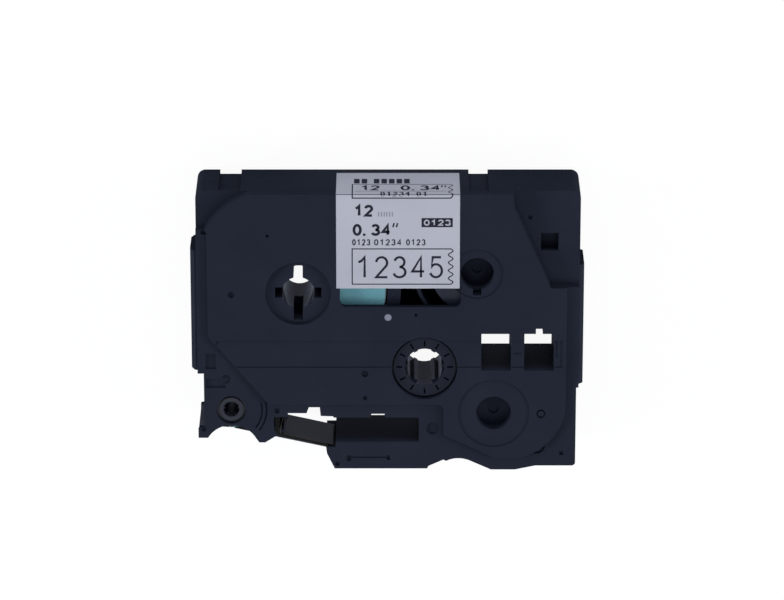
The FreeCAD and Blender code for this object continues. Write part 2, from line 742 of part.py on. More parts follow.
# Small sunk marks of the face: level, depth, then rectangles (left, front, width, height) or rounds (x, y, radius)
MARK_BOXES = {
    "ShelfSlots": (SHELF, "mark_depth", (
        (f"{LEFT_LOW} + 0.4", "left_ledge_place + 1.1", "2.3", "3.5"),
        (f"{LEFT_LOW} + 0.4", "left_ledge_place - 3.3", "4.4", "2"),
        ("case_left + 1.2", "case_rear - 9.5", "1.8", "0.9"),
        (f"{RIGHT_LOW} - 3.6", f"{FRONT_RIGHT} + 2.5", "0.9", "0.9"),
    )),
    "ArmBracket": (SHELF, "shallow_depth", (
        ("-8.9", f"{ARM_FRONT} + 2.55", "9.5", "0.3"),
    )),
    "ArmBracketEnds": (SHELF, "mark_depth", (
        ("-8.9", f"{ARM_FRONT} + 1.8", "0.9", "1.3"),
        ("-0.1", f"{ARM_FRONT} + 2", "0.7", "1.1"),
    )),
    "FaceSlots": ("case_height", "mark_depth", (
        (f"{SECOND_HOLE} - 2.3", f"{HOLE_FRONT} + 3.7", "1.7", "0.35"),
        (f"{SECOND_HOLE} + hole_width + 0.25", f"{HOLE_FRONT} + 3", "0.6", "4"),
    )),
    "CornerPocket": (CORNER_LEVEL, "corner_pocket_depth", (
        ("case_right - 8.6", "case_rear - 13.8", "3.8", "4"),
    )),
    "FilmCupKey": ("case_height", "film_cup_depth / 2", (
        ("film_hub_x - 0.9", "film_hub_y - film_cup_radius - 1.3", "1.8", "2"),
    )),
}
MARK_ROUNDS = {
    "FaceDimples": ("case_height", "mark_depth", (
        ("-4.87", "-9.4", "0.75"), ("-4.87", "-15.05", "0.5"), ("-34", "9.1", "0.75"), ("-26", "22.7", "0.35"),
        ("6.3", "4.4", "0.35"),
    )),
    "ShelfDimples": (SHELF, "mark_depth", (
        (f"{LEFT_LOW} + 4.9", "left_ledge_place - 1.3", "1"), ("recess_left - 12.85", "recess_rear + 1.6", "0.6"),
        ("case_left + 1.2", "roller_y - roller_radius - 0.3", "0.6"), ("recess_left + 0.4", f"{ARM_FRONT} + 1.1", "0.5"),
        ("recess_right + 3", "recess_rear - 2.6", "1.4"),
    )),
    "CornerDimples": (CORNER_LEVEL, "mark_depth", (
        ("case_left + 6", "case_rear - 6.9", "0.85"), ("case_right - 11", "case_rear - 6.2", "0.5"),
    )),
    "PinRings": ("case_height", "mark_depth", (
        ("ribbon_hub_x + 10.4", "ribbon_hub_y - 0.1", "1"), ("ribbon_hub_x + 10.4", "ribbon_hub_y - 0.1", "0.65"),
    )),
    "BossRings": (SHELF, "mark_depth", (
        ("ribbon_hub_x + 9.55", "ribbon_hub_y - 8.05", "1.75"), ("ribbon_hub_x + 9.55", "ribbon_hub_y - 8.05", "1.3"),
        ("ribbon_hub_x + 9.55", "ribbon_hub_y - 8.05", "0.5"),
    )),
}


def cut_marks(body):
    """Slots, dimples, rings and the two curved grooves about the drive roller."""
    for name, (level, depth, places) in MARK_BOXES.items():
        sketch = new_sketch(body, name, level)
        for left, front, width, height in places:
            add_outline(sketch, box(left, front, f"{left} + {width}", f"{front} + {height}"))
        pocket(body, sketch, depth)
    for name, (level, depth, places) in MARK_ROUNDS.items():
        pocket(body, circles(body, name, level, *places), depth)
    sketch = new_sketch(body, "RollerGrooves", SHELF)
    for inner in ("roller_radius + 2.4", "roller_radius + 3.4"):
        add_outline(sketch, curved_band("roller_x", "roller_y", inner, "groove_width", "-38", "14"))
    pocket(body, sketch, "mark_depth")


def build_label():
    """One sticker folded over the rear edge of the case."""
    body = new_body("face_label")
    left, right = label_sides()
    rear = box(left, "case_rear - label_thickness", right, "case_rear")
    height = "case_height - label_rear_bottom"
    pad(body, outline(body, "RearPart", "label_rear_bottom", rear), height)
    face = box(left, "label_front", right, "case_rear - label_thickness / 2")
    pad(body, outline(body, "FacePart", "case_height - label_thickness", face), "label_thickness")


# Spools and rolls

def ring(name, x, y, inner, outer, bottom, height):
    body = new_body(name)
    pad(body, circles(body, f"Ring_{name}", bottom, ("0", "0", outer), ("0", "0", inner)), height)
    move_to(body, x, y)
    return body


SPOOL_BOTTOM = "(floor_thickness + end_gap)"
SPOOL_HEIGHT = f"({ROOF} - floor_thickness - 2 * end_gap)"


def cut_spring_seat(body, boss_radius):
    """Widens the lower end of a spool's bore round the brake spring."""
    depth = f"({SPRING_HEIGHT} + running_gap)"
    seat = ("0", "0", f"{boss_radius} + spring_gap + spring_wire + running_gap")
    pocket(body, circles(body, f"SpringSeat_{body.Name}", f"{SPOOL_BOTTOM} + {depth}", seat), depth)


def build_spools():
    ring("adhesive_spool", HUB_X, HUB_Y, "hub_boss_radius + running_gap", ADHESIVE_CORE,
         SPOOL_BOTTOM, SPOOL_HEIGHT)
    ring("adhesive_roll", HUB_X, HUB_Y, ADHESIVE_CORE, "adhesive_roll_radius", TAPE_BOTTOM, "tape_width")
    overhang = "adhesive_roll_radius + spacer_overhang"
    low = f"{TAPE_BOTTOM} - spacer_thickness"
    high = f"{TAPE_BOTTOM} + tape_width"
    ring("lower_spacer_film", HUB_X, HUB_Y, ADHESIVE_CORE, overhang, low, "spacer_thickness")
    ring("upper_spacer_film", HUB_X, HUB_Y, ADHESIVE_CORE, overhang, high, "spacer_thickness")
    film = ("film_hub_x", "film_hub_y")
    spool = ring("film_spool", *film, "film_boss_radius + running_gap", FILM_CORE, SPOOL_BOTTOM, SPOOL_HEIGHT)
    cut_spring_seat(spool, "film_boss_radius")
    ring("film_roll", *film, FILM_CORE, "film_roll_radius", TAPE_BOTTOM, "tape_width")
    ribbon = ("ribbon_hub_x", "ribbon_hub_y")
    spool = ring("ribbon_supply_spool", *ribbon, "ribbon_boss_radius + running_gap", RIBBON_CORE,
                 SPOOL_BOTTOM, SPOOL_HEIGHT)
    cut_spring_seat(spool, "ribbon_boss_radius")
    ring("ribbon_roll", *ribbon, RIBBON_CORE, "ribbon_roll_radius", TAPE_BOTTOM, "tape_width")
    ring("used_ribbon", "takeup_x", "takeup_y", TAKEUP_BARREL, USED_RADIUS, TAPE_BOTTOM, "tape_width")


TAKEUP_GROOVES = 12
TAKEUP_TEETH = 6
ROLLER_RIBS = 6


def build_takeup_spool():
    """Splined sleeve with radial grooves in its upper end and a well for the clutch spring in its lower one."""
    body = new_body("ribbon_takeup_spool")
    top = "case_height - takeup_end_recess"
    rims = (("0", "0", "takeup_radius"), ("0", "0", "takeup_bore_radius"))
    pad(body, circles(body, "TakeupSleeve", "takeup_end_recess", *rims), f"{top} - takeup_end_recess")
    barrel = (("0", "0", TAKEUP_BARREL), ("0", "0", "takeup_bore_radius"))
    pad(body, circles(body, "TakeupBarrel", SPOOL_BOTTOM, *barrel), SPOOL_HEIGHT)
    wells = (("0", "0", "takeup_radius - takeup_rim"), ("0", "0", "takeup_web_radius"))
    spring_depth = f"{SPRING_HEIGHT} + takeup_end_recess"
    lower = circles(body, "LowerWell", f"takeup_end_recess + {spring_depth}", *wells)
    pocket(body, lower, spring_depth)
    groove = box("takeup_bore_radius + takeup_rim", "-takeup_groove_width / 2", "takeup_radius - takeup_rim",
                 "takeup_groove_width / 2")
    made = pocket(body, outline(body, "TakeupGroove", top, groove), "takeup_groove_depth")
    repeat_round(body, made, TAKEUP_GROOVES)
    tooth = box("takeup_bore_radius - takeup_tooth_height", "-takeup_tooth_width / 2",
                "takeup_bore_radius + 0.2", "takeup_tooth_width / 2")
    made = pad(body, outline(body, "TakeupTooth", "takeup_end_recess + 1", tooth), f"{top} - takeup_end_recess - 2")
    repeat_round(body, made, TAKEUP_TEETH)
    move_to(body, "takeup_x", "takeup_y")


def build_drive_roller():
    """Barrel with a journal at each end and a splined bore."""
    body = new_body("drive_roller")
    bore = ("0", "0", "roller_bore_radius")
    top = "case_height - face_step - roller_end_recess"
    journal = circles(body, "Journals", "roller_end_recess", ("0", "0", "roller_journal_radius"), bore)
    pad(body, journal, f"{top} - roller_end_recess")
    barrel = circles(body, "Barrel", SPOOL_BOTTOM, ("0", "0", "roller_radius"), bore)
    pad(body, barrel, SPOOL_HEIGHT)
    rib = box("roller_bore_radius - roller_rib_height", "-roller_rib_width / 2", "roller_bore_radius + 0.2",
              "roller_rib_width / 2")
    made = pad(body, outline(body, "RollerRib", "roller_end_recess + 1", rib), f"{top} - roller_end_recess - 2")
    repeat_round(body, made, ROLLER_RIBS)
    move_to(body, "roller_x", "roller_y")


SPRING_STEPS = 60
WIRE_SIDES = 6


def wire_section(radius, half_wire):
    """The corners of the wire's section, upright beside the axis."""
    corners = [2 * pi * side / WIRE_SIDES for side in range(WIRE_SIDES)]
    return [Vector(radius + half_wire * cos(corner), 0, half_wire * sin(corner)) for corner in corners]


def build_spring(name, x, y, boss_radius, bottom):
    """A close coil of wire round a boss or sleeve, as a band of flat facets."""
    section = wire_section(size(f"{boss_radius} + spring_gap + spring_wire / 2"), size("spring_wire / 2"))
    rings = []
    for step in range(SPRING_STEPS + 1):
        turned = size("spring_turns") * step / SPRING_STEPS
        spin = FreeCAD.Rotation(Vector(0, 0, 1), 360 * turned)
        rise = Vector(0, 0, size("spring_pitch") * turned)
        rings.append([spin.multVec(corner) + rise for corner in section])
    faces = [Part.Face(Part.makePolygon(ring + ring[:1])) for ring in (rings[0], rings[-1])]
    for ring, following in zip(rings, rings[1:]):
        for side in range(WIRE_SIDES):
            beside = (side + 1) % WIRE_SIDES
            for corners in ((ring[side], following[side], following[beside]),
                            (ring[side], following[beside], ring[beside])):
                faces.append(Part.Face(Part.makePolygon([*corners, corners[0]])))
    solid = Part.makeSolid(Part.makeShell(faces))
    if solid.Volume < 0:
        solid.reverse()
    coil = doc.addObject("Part::Feature", name)
    coil.Shape = solid
    coil.Placement.Base = Vector(size(x), size(y), size(f"{bottom} + spring_wire / 2"))
    coil.Label = name


# Tape runs

FILM_GUIDE = (f"{SECOND_HOLE} + hole_width", "hole_rear")
CORNER_POST = ("case_right - 4.2", "case_front + 5.2")
ENTRY_POST = ("recess_right + wall + 1", "recess_front - arm_post_radius - 0.05")
TIP_POST = ("recess_left + 0.7", "recess_front - arm_post_radius - 0.05")
BEND_POST = ("slot_left - 1.15", "recess_front + 1.95")
RETURN_POST = ("slot_left + 2", "slot_rear + 4.2")


def guide(place, radius, side):
    """A round that the tape bends about: its place and its radius, signed by its side of the tape."""
    signed = size(radius) if side == "left" else -size(radius)
    return size(place[0]), size(place[1]), signed


def tangent(first, second, shift):
    """Where the straight tape between two guides leaves the first and meets the second."""
    dx, dy = second[0] - first[0], second[1] - first[1]
    start, end = first[2] - shift, second[2] - shift
    angle = atan2(dy, dx) - asin((end - start) / (dx ** 2 + dy ** 2) ** 0.5)
    normal = Vector(-sin(angle), cos(angle), 0)
    return (Vector(first[0], first[1], 0) - normal * start,
            Vector(second[0], second[1], 0) - normal * end)


def taut(guides):
    """The guides that a taut tape touches: one that it would have to bend away from is passed by."""
    for index in range(1, len(guides) - 1):
        before = tangent(guides[index - 1], guides[index], 0)
        after = tangent(guides[index], guides[index + 1], 0)
        turn = (before[1] - before[0]).cross(after[1] - after[0]).z
        if turn * guides[index][2] <= 0:
            return taut(guides[:index] + guides[index + 1:])
    return guides


def tape_edge(guides, shift):
    """Lines and arcs of the tape's path, moved sideways to the left by the shift."""
    spans = [tangent(first, second, shift) for first, second in zip(guides, guides[1:])]
    edges = []
    for index, (start, end) in enumerate(spans):
        edges.append(Part.makeLine(start, end))
        if index + 1 < len(spans):
            bend = guides[index + 1]
            centre = Vector(bend[0], bend[1], 0)
            following = spans[index + 1][0]
            outward = (end - centre) + (following - centre)
            middle = centre + outward.normalize() * (end - centre).Length
            edges.append(Part.Arc(end, middle, following).toShape())
    return edges


def build_tape(name, guides):
    """A strip of tape on edge that runs tangent from guide to guide."""
    guides = taut(guides)
    half = size("tape_thickness") / 2
    left, right = tape_edge(guides, half), tape_edge(guides, -half)
    left_start, right_start = (tangent(guides[0], guides[1], shift)[0] for shift in (half, -half))
    left_end, right_end = (tangent(guides[-2], guides[-1], shift)[1] for shift in (half, -half))
    caps = [Part.makeLine(left_start, right_start), Part.makeLine(left_end, right_end)]
    wire = Part.Wire(Part.__sortEdges__(left + right + caps))
    strip = doc.addObject("Part::Feature", name)
    strip.Shape = Part.Face(wire).extrude(Vector(0, 0, size("tape_width")))
    strip.Placement.Base = Vector(0, 0, size(TAPE_BOTTOM))
    strip.Label = name


def build_tapes():
    clear = "running_gap + tape_thickness / 2"
    roller_front = f"roller_y - roller_radius - ({clear})"
    in_arm = f"arm_post_radius + {clear}"
    build_tape("film_run", [
        guide(("film_hub_x", "film_hub_y"), f"film_roll_radius + {clear}", "right"),
        guide(FILM_GUIDE, f"hole_wall * 1.42 + {clear}", "right"),
        guide(CORNER_POST, f"post_radius + {clear}", "right"),
        guide(TIP_POST, f"{in_arm} + film_spacing", "right"),
        guide(("roller_x + 0.6", f"{roller_front} - tape_thickness - 0.05"), "0", "right"),
    ])
    build_tape("ribbon_run", [
        guide(("ribbon_hub_x", "ribbon_hub_y"), f"ribbon_roll_radius + {clear}", "right"),
        guide(ENTRY_POST, in_arm, "right"),
        guide(TIP_POST, in_arm, "right"),
        guide(BEND_POST, f"bend_post_radius + {clear}", "right"),
        guide(RETURN_POST, f"post_radius + {clear}", "right"),
        guide(("takeup_x", "takeup_y"), f"{USED_RADIUS} + {clear}", "left"),
    ])
    build_tape("adhesive_run", [
        guide((HUB_X, HUB_Y), f"adhesive_roll_radius + {clear}", "left"),
        guide(("roller_x", "roller_y"), f"roller_radius + {clear}", "right"),
        guide(("roller_x - 0.4", roller_front), "0", "right"),
    ])
    build_tape("laminated_tape", [
        guide(("roller_x - 0.5", roller_front), "0", "right"),
        guide(("case_left + 0.2", f"{roller_front} + 0.5"), "0", "right"),
    ])


build_lower_shell()
build_upper_shell()
build_label()
build_spools()
build_takeup_spool()
build_drive_roller()
on_floor = "(floor_thickness + spring_gap)"
build_spring("film_brake_spring", "film_hub_x", "film_hub_y", "film_boss_radius", on_floor)
build_spring("ribbon_brake_spring", "ribbon_hub_x", "ribbon_hub_y", "ribbon_boss_radius", on_floor)
in_well = "(2 * takeup_end_recess - spring_gap)"
build_spring("takeup_clutch_spring", "takeup_x", "takeup_y", "takeup_web_radius", in_well)
doc.recompute()

parts = {}
for item in doc.Objects:
    if {"Invalid", "Error"} & set(item.State):
        raise RuntimeError(f"{item.Label} failed: {item.State}")
build_tapes()
for item in doc.Objects:
    top_level = item.isDerivedFrom("PartDesign::Body") or item.TypeId == "Part::Feature"
    if top_level and item.getParentGeoFeatureGroup() is None:
        parts[item.Label] = item.Shape

for name, shape in parts.items():
    if shape.isNull() or not shape.isValid():
        raise RuntimeError(f"{name} has no valid shape")

os.makedirs("parts", exist_ok=True)
for name, shape in parts.items():
    shape.exportStep(f"parts/{name}.step")
    print(name, len(shape.Solids), round(shape.Volume, 1))
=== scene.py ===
import math

import bpy
from mathutils import Euler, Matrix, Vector


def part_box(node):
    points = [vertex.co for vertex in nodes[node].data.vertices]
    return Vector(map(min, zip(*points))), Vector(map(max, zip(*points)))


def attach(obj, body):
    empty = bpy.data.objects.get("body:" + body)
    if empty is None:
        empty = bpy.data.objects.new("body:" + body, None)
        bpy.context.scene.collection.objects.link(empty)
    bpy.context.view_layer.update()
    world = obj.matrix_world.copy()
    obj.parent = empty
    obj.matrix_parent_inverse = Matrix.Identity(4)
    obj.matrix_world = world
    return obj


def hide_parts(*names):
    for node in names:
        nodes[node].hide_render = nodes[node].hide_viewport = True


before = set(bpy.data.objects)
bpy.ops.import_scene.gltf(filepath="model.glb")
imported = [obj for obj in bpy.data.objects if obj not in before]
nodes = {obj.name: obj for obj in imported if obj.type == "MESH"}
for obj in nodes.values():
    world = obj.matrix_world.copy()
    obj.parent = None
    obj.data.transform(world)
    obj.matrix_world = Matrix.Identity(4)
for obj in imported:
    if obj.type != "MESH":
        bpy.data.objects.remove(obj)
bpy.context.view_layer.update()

# Label tape cassette: finishes of the moulded case, rolls, ribbon and film, and the printed sticker.
# Lengths are in millimetres until they reach a mesh.

MM = 0.001
label_low, label_high = (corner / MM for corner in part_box("face_label"))


# Materials

def new_material(name):
    material = bpy.data.materials.new(name)
    material.use_nodes = True
    tree = material.node_tree
    return material, tree, tree.nodes["Principled BSDF"]


def add_node(tree, kind, inputs=None, **settings):
    node = tree.nodes.new(kind)
    for key, value in settings.items():
        setattr(node, key, value)
    for key, value in (inputs or {}).items():
        node.inputs[key].default_value = value
    return node


def object_coordinates(tree):
    return add_node(tree, "ShaderNodeTexCoord").outputs["Object"]


def colour_noise(tree, shader, dark, light, scale):
    """Slow cloudy variation between two close colours."""
    noise = add_node(tree, "ShaderNodeTexNoise", {"Scale": scale, "Detail": 4.0})
    tree.links.new(object_coordinates(tree), noise.inputs["Vector"])
    ramp = add_node(tree, "ShaderNodeValToRGB")
    ramp.color_ramp.elements[0].position = 0.35
    ramp.color_ramp.elements[0].color = (*dark, 1)
    ramp.color_ramp.elements[1].position = 0.7
    ramp.color_ramp.elements[1].color = (*light, 1)
    tree.links.new(noise.outputs["Fac"], ramp.inputs["Fac"])
    tree.links.new(ramp.outputs["Color"], shader.inputs["Base Color"])


def grain(tree, scale, strength, distance):
    """The fine grain of a surface, as a bump."""
    noise = add_node(tree, "ShaderNodeTexNoise", {"Scale": scale, "Detail": 3.0})
    tree.links.new(object_coordinates(tree), noise.inputs["Vector"])
    bump = add_node(tree, "ShaderNodeBump", {"Strength": strength, "Distance": distance})
    tree.links.new(noise.outputs["Fac"], bump.inputs["Height"])
    return bump


CASE_CLOUDS = 90.0
SPARK_GRAIN = 5200.0
GRAIN_DEPTH = 0.02 * MM
CASE_EDGE = 0.22


def moulded_plastic(name, dark, light, roughness, specular, edge=CASE_EDGE):
    """Satin plastic with softly broken edges and a spark-eroded grain."""
    material, tree, shader = new_material(name)
    shader.inputs["Roughness"].default_value = roughness
    shader.inputs["Specular IOR Level"].default_value = specular
    colour_noise(tree, shader, dark, light, CASE_CLOUDS)
    bump = grain(tree, SPARK_GRAIN, 0.16, GRAIN_DEPTH)
    bevel = add_node(tree, "ShaderNodeBevel", {"Radius": edge * MM}, samples=6)
    tree.links.new(bevel.outputs["Normal"], bump.inputs["Normal"])
    tree.links.new(bump.outputs["Normal"], shader.inputs["Normal"])
    return material


DOT = (0.18, 3.85)
DOT_RADIUS = 0.75
DOT_GREY = (0.16, 0.17, 0.21, 1)
HUB = (-19.4, 9.35)
HUB_RADIUS = 3.9
BORE_ROUGHNESS = 0.1
SOFT_EDGE = 0.12


def within(tree, centre, radius, outside=0.0, inside=1.0):
    """One value in an upright cylinder and another around it."""
    flat = add_node(tree, "ShaderNodeVectorMath", {1: (1, 1, 0)}, operation="MULTIPLY")
    tree.links.new(object_coordinates(tree), flat.inputs[0])
    axis = (centre[0] * MM, centre[1] * MM, 0)
    reach = add_node(tree, "ShaderNodeVectorMath", {1: axis}, operation="DISTANCE")
    tree.links.new(flat.outputs[0], reach.inputs[0])
    ends = {"From Min": (radius + SOFT_EDGE) * MM, "From Max": (radius - SOFT_EDGE) * MM}
    edge = add_node(tree, "ShaderNodeMapRange", {**ends, "To Min": outside, "To Max": inside})
    tree.links.new(reach.outputs["Value"], edge.inputs["Value"])
    return edge.outputs["Result"]


def polish_hub(material):
    """The smooth wall of the open hub."""
    tree = material.node_tree
    shader = tree.nodes["Principled BSDF"]
    rough = shader.inputs["Roughness"].default_value
    tree.links.new(within(tree, HUB, HUB_RADIUS, rough, BORE_ROUGHNESS), shader.inputs["Roughness"])
    return material


def paint_dot(material):
    """A light grey round mark below the window."""
    tree = material.node_tree
    shader = tree.nodes["Principled BSDF"]
    under = shader.inputs["Base Color"].links[0].from_socket
    mix = add_node(tree, "ShaderNodeMix", data_type="RGBA")
    tree.links.new(within(tree, DOT, DOT_RADIUS), mix.inputs["Factor"])
    tree.links.new(under, mix.inputs["A"])
    mix.inputs["B"].default_value = DOT_GREY
    tree.links.new(mix.outputs["Result"], shader.inputs["Base Color"])
    return material


def wound_tape(name, centre, dark, light, roughness, specular):
    """The end of a wound roll: fine rings about its own centre."""
    material, tree, shader = new_material(name)
    shader.inputs["Roughness"].default_value = roughness
    shader.inputs["Specular IOR Level"].default_value = specular
    shift = add_node(tree, "ShaderNodeMapping")
    shift.inputs["Location"].default_value = (-centre.x, -centre.y, 0)
    shift.inputs["Scale"].default_value = (1, 1, 0)
    tree.links.new(object_coordinates(tree), shift.inputs["Vector"])
    waves = {"Scale": 1100.0, "Distortion": 1.2, "Detail": 2.0, "Detail Scale": 0.6}
    rings = add_node(tree, "ShaderNodeTexWave", waves,
                     wave_type="RINGS", rings_direction="Z", wave_profile="SIN")
    tree.links.new(shift.outputs["Vector"], rings.inputs["Vector"])
    ramp = add_node(tree, "ShaderNodeValToRGB")
    ramp.color_ramp.elements[0].color = (*dark, 1)
    ramp.color_ramp.elements[1].color = (*light, 1)
    tree.links.new(rings.outputs["Fac"], ramp.inputs["Fac"])
    tree.links.new(ramp.outputs["Color"], shader.inputs["Base Color"])
    bump = add_node(tree, "ShaderNodeBump", {"Strength": 0.1, "Distance": 0.03 * MM})
    tree.links.new(rings.outputs["Fac"], bump.inputs["Height"])
    tree.links.new(bump.outputs["Normal"], shader.inputs["Normal"])
    return material


def thin_film(name, colour, alpha, roughness):
    """A thin strip that shows what is behind it."""
    material, tree, shader = new_material(name)
    shader.inputs["Roughness"].default_value = roughness
    shader.inputs["Specular IOR Level"].default_value = 0.05
    shader.inputs["Alpha"].default_value = alpha
    colour_noise(tree, shader, colour, tuple(1.25 * channel for channel in colour), 240.0)
    bump = grain(tree, 180.0, 0.1, 0.05 * MM)
    tree.links.new(bump.outputs["Normal"], shader.inputs["Normal"])
    return material


def steel():
    """Bright spring wire."""
    material, tree, shader = new_material("spring_wire")
    shader.inputs["Metallic"].default_value = 1.0
    shader.inputs["Roughness"].default_value = 0.28
    colour_noise(tree, shader, (0.5, 0.51, 0.53), (0.62, 0.62, 0.63), 400.0)
    return material


def sticker():
    """Silvery blue-grey film with a faint sparkle."""
    material, tree, shader = new_material("label_film")
    shader.inputs["Roughness"].default_value = 0.42
    shader.inputs["Specular IOR Level"].default_value = 0.3
    colour_noise(tree, shader, (0.3, 0.306, 0.345), (0.33, 0.337, 0.378), 60.0)
    bump = grain(tree, 3800.0, 0.12, GRAIN_DEPTH)
    tree.links.new(bump.outputs["Normal"], shader.inputs["Normal"])
    return material


def ink(name, dark, light):
    """Matt printed ink."""
    material, tree, shader = new_material(name)
    shader.inputs["Roughness"].default_value = 0.5
    shader.inputs["Specular IOR Level"].default_value = 0.2
    colour_noise(tree, shader, dark, light, 300.0)
    return material


def roll_finish(name, node, dark, light, roughness, specular):
    """A wound finish about the middle of a node."""
    centre = sum(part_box(node), Vector()) / 2
    return wound_tape(name, centre, dark, light, roughness, specular)


RIBBON_DARK = (0.008, 0.006, 0.005)
RIBBON_LIGHT = (0.014, 0.011, 0.009)

case_plastic = polish_hub(
    moulded_plastic("case_plastic", (0.0106, 0.0134, 0.022), (0.0128, 0.0157, 0.0253), 0.55, 0.03))
marked_plastic = paint_dot(case_plastic.copy())
spool_plastic = moulded_plastic(
    "spool_plastic", (0.0085, 0.011, 0.019), (0.0105, 0.013, 0.022), BORE_ROUGHNESS, 0.03, 0.12)
roller_plastic = moulded_plastic(
    "roller_plastic", (0.012, 0.0145, 0.023), (0.015, 0.018, 0.027), 0.4, 0.2, 0.1)
teal_roll = roll_finish(
    "adhesive_tape", "adhesive_roll", (0.082, 0.265, 0.305), (0.1, 0.3, 0.34), 0.55, 0.08)
dark_roll = roll_finish(
    "film_roll", "film_roll", (0.014, 0.018, 0.03), (0.017, 0.0215, 0.034), 0.4, 0.12)
ribbon_roll = roll_finish("ribbon_roll", "ribbon_roll", RIBBON_DARK, RIBBON_LIGHT, 0.35, 0.3)
used_roll = roll_finish("used_ribbon", "used_ribbon", RIBBON_DARK, RIBBON_LIGHT, 0.35, 0.3)
clear_film = thin_film("clear_film", (0.55, 0.58, 0.62), 0.06, 0.12)
run_film = thin_film("run_film", (0.042, 0.047, 0.06), 0.9, 0.12)
ribbon_film = thin_film("ribbon_film", (0.016, 0.0125, 0.0105), 0.985, 0.2)
teal_tape = thin_film("adhesive_strip", (0.06, 0.17, 0.19), 1.0, 0.4)
output_tape = thin_film("laminated_strip", (0.05, 0.055, 0.07), 1.0, 0.15)
label_material = sticker()
spring_wire = steel()
black_ink = ink("black_ink", (0.0035, 0.0045, 0.0125), (0.0065, 0.008, 0.018))
grey_ink = ink("grey_ink", (0.16, 0.165, 0.2), (0.19, 0.195, 0.23))

FINISHES = {
    "lower_shell": case_plastic,
    "upper_shell": marked_plastic,
    "adhesive_spool": spool_plastic,
    "adhesive_roll": teal_roll,
    "lower_spacer_film": clear_film,
    "upper_spacer_film": clear_film,
    "film_spool": spool_plastic,
    "film_roll": dark_roll,
    "film_brake_spring": spring_wire,
    "ribbon_supply_spool": spool_plastic,
    "ribbon_roll": ribbon_roll,
    "ribbon_brake_spring": spring_wire,
    "ribbon_takeup_spool": spool_plastic,
    "used_ribbon": used_roll,
    "takeup_clutch_spring": spring_wire,
    "drive_roller": roller_plastic,
    "film_run": run_film,
    "ribbon_run": ribbon_film,
    "adhesive_run": teal_tape,
    "laminated_tape": output_tape,
}
for name, material in FINISHES.items():
    for place in nodes[name].material_slots:
        place.material = material


# Meshes

def new_piece(name, points, faces, material, body="case"):
    """A mesh from points in millimetres, riding on a body."""
    mesh = bpy.data.meshes.new(name)
    mesh.from_pydata([tuple(MM * value for value in point) for point in points], [], faces)
    mesh.validate()
    piece = bpy.data.objects.new(name, mesh)
    bpy.context.scene.collection.objects.link(piece)
    mesh.materials.append(material)
    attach(piece, body)
    return piece


LABEL_TOP = 16.47
LABEL_INSET = 0.03
LABEL_REAR = label_high.y - LABEL_INSET
LABEL_THICK = 0.08
FOLD_RADIUS = 0.45
FOLD_STEPS = 8
INK_LIFT = 0.012


def fold_profile():
    """The sticker's section: along the face, round the fold and down the rear wall."""
    profile = [(label_low.y, LABEL_TOP)]
    centre = (LABEL_REAR - FOLD_RADIUS, LABEL_TOP - FOLD_RADIUS)
    for step in range(FOLD_STEPS + 1):
        angle = math.radians(90) * (1 - step / FOLD_STEPS)
        y = centre[0] + FOLD_RADIUS * math.cos(angle)
        profile.append((y, centre[1] + FOLD_RADIUS * math.sin(angle)))
    profile.append((LABEL_REAR, label_low.z))
    return profile


def build_sticker():
    profile = fold_profile()
    sides = label_low.x + LABEL_INSET, label_high.x - LABEL_INSET
    points = [(x, y, z) for y, z in profile for x in sides]
    faces = [(2 * row, 2 * row + 1, 2 * row + 3, 2 * row + 2) for row in range(len(profile) - 1)]
    piece = new_piece("printed_sticker", points, faces, label_material)
    thick = piece.modifiers.new("Thickness", "SOLIDIFY")
    thick.thickness = LABEL_THICK * MM
    thick.offset = -1
    for polygon in piece.data.polygons:
        polygon.use_smooth = True
    piece.modifiers.new("Smooth", "WEIGHTED_NORMAL")
    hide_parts("face_label")


def on_face(x, y):
    return x, y, LABEL_TOP + INK_LIFT


def on_block(x, y):
    """A point over the dark block's print."""
    return x, y, LABEL_TOP + 2 * INK_LIFT


def over_fold(x, along):
    """A point by how far it lies beyond the start of the fold: on the face, the fold or the rear wall."""
    reach = FOLD_RADIUS + INK_LIFT
    fold = math.radians(90) * FOLD_RADIUS
    centre_y, centre_z = LABEL_REAR - FOLD_RADIUS, LABEL_TOP - FOLD_RADIUS
    if along <= 0:
        return x, centre_y + along, centre_z + reach
    if along >= fold:
        return x, centre_y + reach, centre_z - (along - fold)
    angle = along / FOLD_RADIUS
    return x, centre_y + reach * math.sin(angle), centre_z + reach * math.cos(angle)


def quad(place, left, bottom, right, top):
    return [place(left, bottom), place(right, bottom), place(right, top), place(left, top)]


SHARPEST_MITRE = 0.45
UNDIVIDED = 40.0
ROUND_THE_FOLD = 0.1


def divided(route, longest):
    """The route with no step longer than a given length."""
    points = [Vector(route[0])]
    for point in route[1:]:
        step = Vector(point) - points[-1]
        parts = math.ceil(step.length / longest)
        start = points[-1]
        points += [start + step * part / parts for part in range(1, parts + 1)]
    return points


def stroke(place, route, width, longest=UNDIVIDED):
    """Quads of an even width along a route, mitred at its corners."""
    points = divided(route, longest)
    sides = [Vector((start.y - end.y, end.x - start.x)).normalized()
             for start, end in zip(points, points[1:])]
    closed = (points[0] - points[-1]).length < 1e-6
    first, last = (sides[-1], sides[0]) if closed else (sides[0], sides[-1])
    edges = []
    for point, before, after in zip(points, [first] + sides, sides + [last]):
        middle = (before + after).normalized()
        reach = middle * width / 2 / max(middle.dot(before), SHARPEST_MITRE)
        edges.append((point - reach, point + reach))
    return [[place(*start[0]), place(*end[0]), place(*end[1]), place(*start[1])]
            for start, end in zip(edges, edges[1:])]


def print_quads(name, quads, material):
    points = [point for corners in quads for point in corners]
    faces = [tuple(range(4 * index, 4 * index + 4)) for index in range(len(quads))]
    new_piece(name, points, faces, material)


